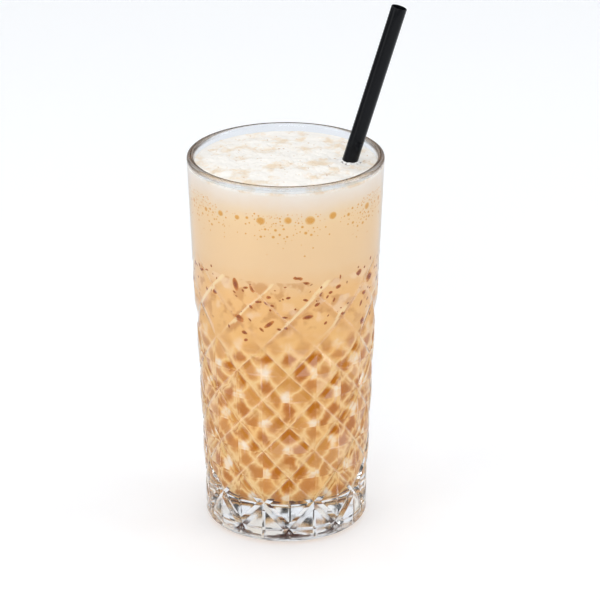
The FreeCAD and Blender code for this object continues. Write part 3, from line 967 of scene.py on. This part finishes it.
# %% Spots, lines and whitish centres among the diamonds
def diamond_light(tree, place, height, falling, rising, colour):
    """Golden spots in the middle of each cell, pale lines between, white behind each peak."""
    lot = chance(tree, math_node(tree, "FLOOR", falling), math_node(tree, "FLOOR", rising))
    gap_falling, gap_rising = from_whole(tree, falling), from_whole(tree, rising)
    square = math_node(tree, "MINIMUM", gap_falling, gap_rising)
    rounded = math_node(tree, "SQRT", times(tree, gap_falling, gap_rising))
    gap = times(tree, math_node(tree, "ADD", square, rounded), 0.5)
    fade = range_share(tree, height, 89 * MM, 76 * MM)
    strength = math_node(tree, "MULTIPLY_ADD", lot, 1.1, 0.3)
    strength = math_node(tree, "MULTIPLY", fade, strength, clamp=True)
    spot = times(tree, range_share(tree, gap, 0.15, 0.36), strength)
    line = times(tree, range_share(tree, gap, 0.25, 0.02), fade, 0.85)
    from_peak = largest(tree, from_odd(tree, falling), from_odd(tree, rising))
    mottle = range_share(tree, noise(tree, place, 330.0, 2.0), 0.3, 0.5)
    white = times(tree, range_share(tree, from_peak, 0.36, 0.04), fade, mottle)
    colour = mix_colour(tree, spot, colour, paint(194, 116, 14))
    colour = mix_colour(tree, line, colour, paint(253, 220, 158))
    return mix_colour(tree, white, colour, paint(255, 240, 222))


# %% The whole light pattern, and a dark ring at the drink's foot
DARK_RING_TOP, DARK_RING_SOLID = 19.4, 18.6


def lattice_light(tree, colour):
    """The light of the cuts over the drink's own colour, and a ragged brown ring at the foot."""
    place = add_node(tree, "ShaderNodeTexCoord").outputs["Object"]
    across, up, height = shaken_counts(tree, place)
    falling = math_node(tree, "ADD", across, up)
    rising = math_node(tree, "SUBTRACT", across, up)
    colour = border_light(tree, place, height, falling, rising, colour)
    colour = diamond_light(tree, place, height, falling, rising, colour)
    ragged = math_node(tree, "MULTIPLY_ADD", noise(tree, place, 170.0, 3.0), 9.0 * MM, height)
    dark_ring = range_share(tree, ragged, DARK_RING_TOP * MM, DARK_RING_SOLID * MM)
    return mix_colour(tree, dark_ring, colour, paint(96, 44, 12))


# %% [markdown]
# ## The coffee
#
# Milky coffee is an opaque liquid: a soft, slightly uneven colour with no grain. The lower
# layer carries the light of the cuts as well; the upper one stands above the pattern.

# %% The coffee materials
def drink_material(name, with_light_pattern):
    """Milky coffee: smooth and opaque, with little gloss of its own under the glass."""
    material = new_material(name)
    tree = material.node_tree
    tone = add_node(tree, "ShaderNodeGroup", node_tree=DRINK_TONE)
    tone.inputs["Unevenness"].default_value = 9.0
    colour = tone.outputs["Color"]
    if with_light_pattern:
        colour = lattice_light(tree, colour)
    shader = add_node(tree, "ShaderNodeBsdfPrincipled", {
        "Base Color": colour, "Roughness": 0.45, "Specular IOR Level": 0.1,
    })
    return finish_material(material, shader.outputs[0])


coffee.data.materials.append(drink_material("CoffeeTone", True))
milky.data.materials.append(drink_material("MilkyCoffeeTone", False))

# %% [markdown]
# ## Bubbles and flecks
#
# A bubble at the glass lets the golden coffee show and is paler at its rim; a fleck is dark in
# the middle and soaks into the milk round it. Both are one finish with two colours, blended by
# the attribute Inner that the domes carry, with noise so that no two look the same.

# %% The bubble and fleck materials
def spot_material(name, edge_colour, middle_colour, roughness, rim_share):
    """A finish for domes: one colour at the edge, another in the middle, a little uneven."""
    material = new_material(name)
    tree = material.node_tree
    place = add_node(tree, "ShaderNodeTexCoord").outputs["Object"]
    inner = add_node(tree, "ShaderNodeAttribute", attribute_name="Inner").outputs["Fac"]
    uneven = math_node(tree, "MULTIPLY_ADD", noise(tree, place, 420.0, 2.0), 0.7, -0.3)
    share = range_share(tree, math_node(tree, "ADD", inner, uneven), 0.0, rim_share)
    mixed = mix_colour(tree, share, edge_colour, middle_colour)
    shader = add_node(tree, "ShaderNodeBsdfPrincipled", {
        "Base Color": mixed, "Roughness": roughness, "Specular IOR Level": 0.1,
    })
    return finish_material(material, shader.outputs[0])


amber = spot_material("AmberBubble", paint(240, 204, 146), paint(226, 166, 76), 0.35, 0.55)
brown = spot_material("BrownFleck", paint(212, 134, 52), paint(150, 70, 6), 0.6, 0.75)
bubbles.data.materials.append(amber)
flecks.data.materials.append(brown)

# %% [markdown]
# ## Milk foam
#
# Foam is white because its bubbles scatter all light. Coffee shows through it in tan blots and
# small specks, and it is cleanest round the straw, but for a few dark bits that cling there.
# Each of these is noise at its own scale; the side takes the drink's tone.

# %% The foam material
def foam_material():
    """Milk foam: creamy white, with tan blots where coffee shows through."""
    material = new_material("MilkFoam")
    tree = material.node_tree
    place = add_node(tree, "ShaderNodeTexCoord").outputs["Object"]
    tone = add_node(tree, "ShaderNodeGroup", node_tree=DRINK_TONE)
    tone.inputs["Unevenness"].default_value = 5.0
    collar = add_node(tree, "ShaderNodeAttribute", attribute_name="Collar").outputs["Fac"]
    blots = times(tree, range_share(tree, noise(tree, place, 110.0, 5.0, 0.65), 0.46, 0.66), 0.7)
    specks = times(tree, range_share(tree, noise(tree, place, 620.0, 1.0), 0.68, 0.76), 0.6)
    dark_bits = range_share(tree, noise(tree, place, 800.0, 1.0), 0.58, 0.66)
    bits = times(tree, range_share(tree, collar, 0.1, 0.5), dark_bits, 0.8)
    top = mix_colour(tree, blots, paint(251, 246, 238), paint(234, 206, 166))
    top = mix_colour(tree, specks, top, paint(196, 150, 92))
    top = mix_colour(tree, range_share(tree, collar, 0.2, 0.6), top, paint(252, 250, 246))
    top = mix_colour(tree, bits, top, paint(90, 74, 62))
    height = add_node(tree, "ShaderNodeSeparateXYZ", {0: place}).outputs[2]
    on_top = range_share(tree, height, (FOAM_EDGE - 0.8) * MM, FOAM_EDGE * MM)
    colour = mix_colour(tree, on_top, tone.outputs["Color"], top)
    shader = add_node(tree, "ShaderNodeBsdfPrincipled", {"Base Color": colour, "Roughness": 0.6})
    return finish_material(material, shader.outputs[0])


foam.data.materials.append(foam_material())

# %% [markdown]
# ## Black plastic
#
# The straw is extruded from black plastic: a smooth gloss, broken by the faint marks that the
# die leaves. The gloss comes from the lamps; only the roughness varies, by fine noise.

# %% The straw material
def straw_material():
    """Glossy black plastic with faint marks of the die."""
    material = new_material("BlackPlastic")
    tree = material.node_tree
    place = add_node(tree, "ShaderNodeTexCoord").outputs["Object"]
    rough = math_node(tree, "MULTIPLY_ADD", noise(tree, place, 900.0, 2.0), 0.08, 0.2)
    shader = add_node(tree, "ShaderNodeBsdfPrincipled", {
        "Base Color": (0.003, 0.0035, 0.005, 1), "Roughness": rough, "Specular IOR Level": 0.16,
    })
    return finish_material(material, shader.outputs[0])


straw.data.materials.append(straw_material())

# %% [markdown]
# ## The floor
#
# The glass stands on a plain white floor. A floor lit by lamps alone falls off to grey at the
# back, so it also gives off a little light of its own, less than would wash out the shadow
# under the glass.

# %% Floor
FLOOR_HALF, FLOOR_GAP = 1.2, 0.4 * MM


def build_floor():
    """A wide white floor, a hair below the glass."""
    mesh = bpy.data.meshes.new("Floor")
    sides = ((-1, -1), (1, -1), (1, 1), (-1, 1))
    corners = [(FLOOR_HALF * x, FLOOR_HALF * y, -FLOOR_GAP) for x, y in sides]
    mesh.from_pydata(corners, [], [(0, 1, 2, 3)])
    floor = bpy.data.objects.new("Floor", mesh)
    bpy.context.scene.collection.objects.link(floor)
    material = new_material("WhiteFloor")
    shader = add_node(material.node_tree, "ShaderNodeBsdfPrincipled", {
        "Base Color": (0.96, 0.96, 0.96, 1), "Roughness": 0.9, "Specular IOR Level": 0.0,
        "Emission Color": (0.97, 0.98, 1.0, 1), "Emission Strength": 0.1,
    })
    mesh.materials.append(finish_material(material, shader.outputs[0]))


build_floor()
print(f"floor {2 * FLOOR_HALF:.1f} m wide")

# %% [markdown]
# ## Light and surroundings
#
# Clear glass shows only what it bends and mirrors, so the surroundings matter as much as the
# lamps. Soft panels stand left, right, in front and above. Round them the room is pale, with
# narrow black flags, as a studio sets them up to draw dark lines into clear glass. Behind the
# glass the camera sees plain white.

# %% Soft panels
def add_panel(name, place, target, width, height, power):
    """A soft panel light at a place, turned towards a target; metres and watts."""
    light = bpy.data.lights.new(name, "AREA")
    light.shape = "RECTANGLE"
    light.size, light.size_y, light.energy = width, height, power
    panel = bpy.data.objects.new(name, light)
    panel.location = place
    direction = np.array(target) - np.array(place)
    yaw = math.atan2(direction[0], -direction[1])
    pitch = math.atan2(math.hypot(direction[0], direction[1]), -direction[2])
    panel.rotation_euler = (pitch, 0, yaw + math.pi)
    bpy.context.scene.collection.objects.link(panel)


# %% Lights and room
FLAG_SPACING, FLAG_WIDTH = math.radians(30.0), math.radians(5.0)
LOW_ROOM, HIGH_ROOM, FLAG_BLACK = (0.3, 0.3, 0.3, 1), (0.92, 0.945, 0.98, 1), (0.008, 0.007, 0.006, 1)


def build_light():
    """Panels left, right, in front and above, and a pale grey world with black flags round it.

    The flags are narrow upright strips, spaced evenly round the horizon. The glass bends
    them into dark breaks. A look straight at the world finds it white.
    """
    middle = (0, 0, 0.08)
    add_panel("LeftPanel", (-0.9, -0.5, 0.45), middle, 0.4, 0.9, 2.0)
    add_panel("RightPanel", (0.95, -0.1, 0.35), middle, 0.25, 0.8, 1.8)
    add_panel("FrontPanel", (-0.25, -1.6, 0.75), middle, 1.0, 0.7, 7)
    add_panel("TopPanel", (0, 0.3, 1.3), middle, 1.2, 0.9, 2.2)
    world = bpy.data.worlds.new("Studio")
    world.use_nodes = True
    tree = world.node_tree
    tree.nodes.clear()
    output = tree.nodes.new("ShaderNodeOutputWorld")
    direction = add_node(tree, "ShaderNodeTexCoord").outputs["Generated"]
    x, y, z = add_node(tree, "ShaderNodeSeparateXYZ", {0: direction}).outputs
    room = mix_colour(tree, range_share(tree, z, 0.0, 0.35), LOW_ROOM, HIGH_ROOM)
    from_flag = math_node(tree, "PINGPONG", math_node(tree, "ARCTAN2", x, y), FLAG_SPACING / 2)
    flag = range_share(tree, from_flag, FLAG_WIDTH / 2 + 0.02, FLAG_WIDTH / 2)
    room = mix_colour(tree, flag, room, FLAG_BLACK)
    path = add_node(tree, "ShaderNodeLightPath")
    seen = mix_colour(tree, path.outputs["Is Camera Ray"], room, (1, 1, 1, 1))
    background = add_node(tree, "ShaderNodeBackground", {"Color": seen, "Strength": 1.0})
    tree.links.new(background.outputs[0], output.inputs["Surface"])
    bpy.context.scene.world = world


build_light()
bpy.context.scene.view_settings.view_transform = "Standard"
print(f"{len(bpy.data.lights)} panels, {round(2 * math.pi / FLAG_SPACING)} flags")

# %% [markdown]
# ## The camera
#
# A drink is shown from a little above, so that foam and front are both seen. A long lens from
# a metre away keeps the sides of the glass nearly parallel.

# %% Camera
CAMERA_PLACE, LENS = (0.0, -1.062, 0.529), 177.7
LOOK_DOWN, LOOK_RIGHT = math.radians(22.47), math.radians(0.294)


def build_camera():
    """A long lens in front of the glass, looking down on it by 22 degrees."""
    camera_data = bpy.data.cameras.new("Camera")
    camera_data.sensor_width = 36.0
    camera_data.lens = LENS
    camera = bpy.data.objects.new("Camera", camera_data)
    camera.location = CAMERA_PLACE
    camera.rotation_euler = (math.pi / 2 - LOOK_DOWN, 0, -LOOK_RIGHT)
    bpy.context.scene.collection.objects.link(camera)
    bpy.context.scene.camera = camera


build_camera()
print(f"camera with a {LENS:.0f} mm lens")
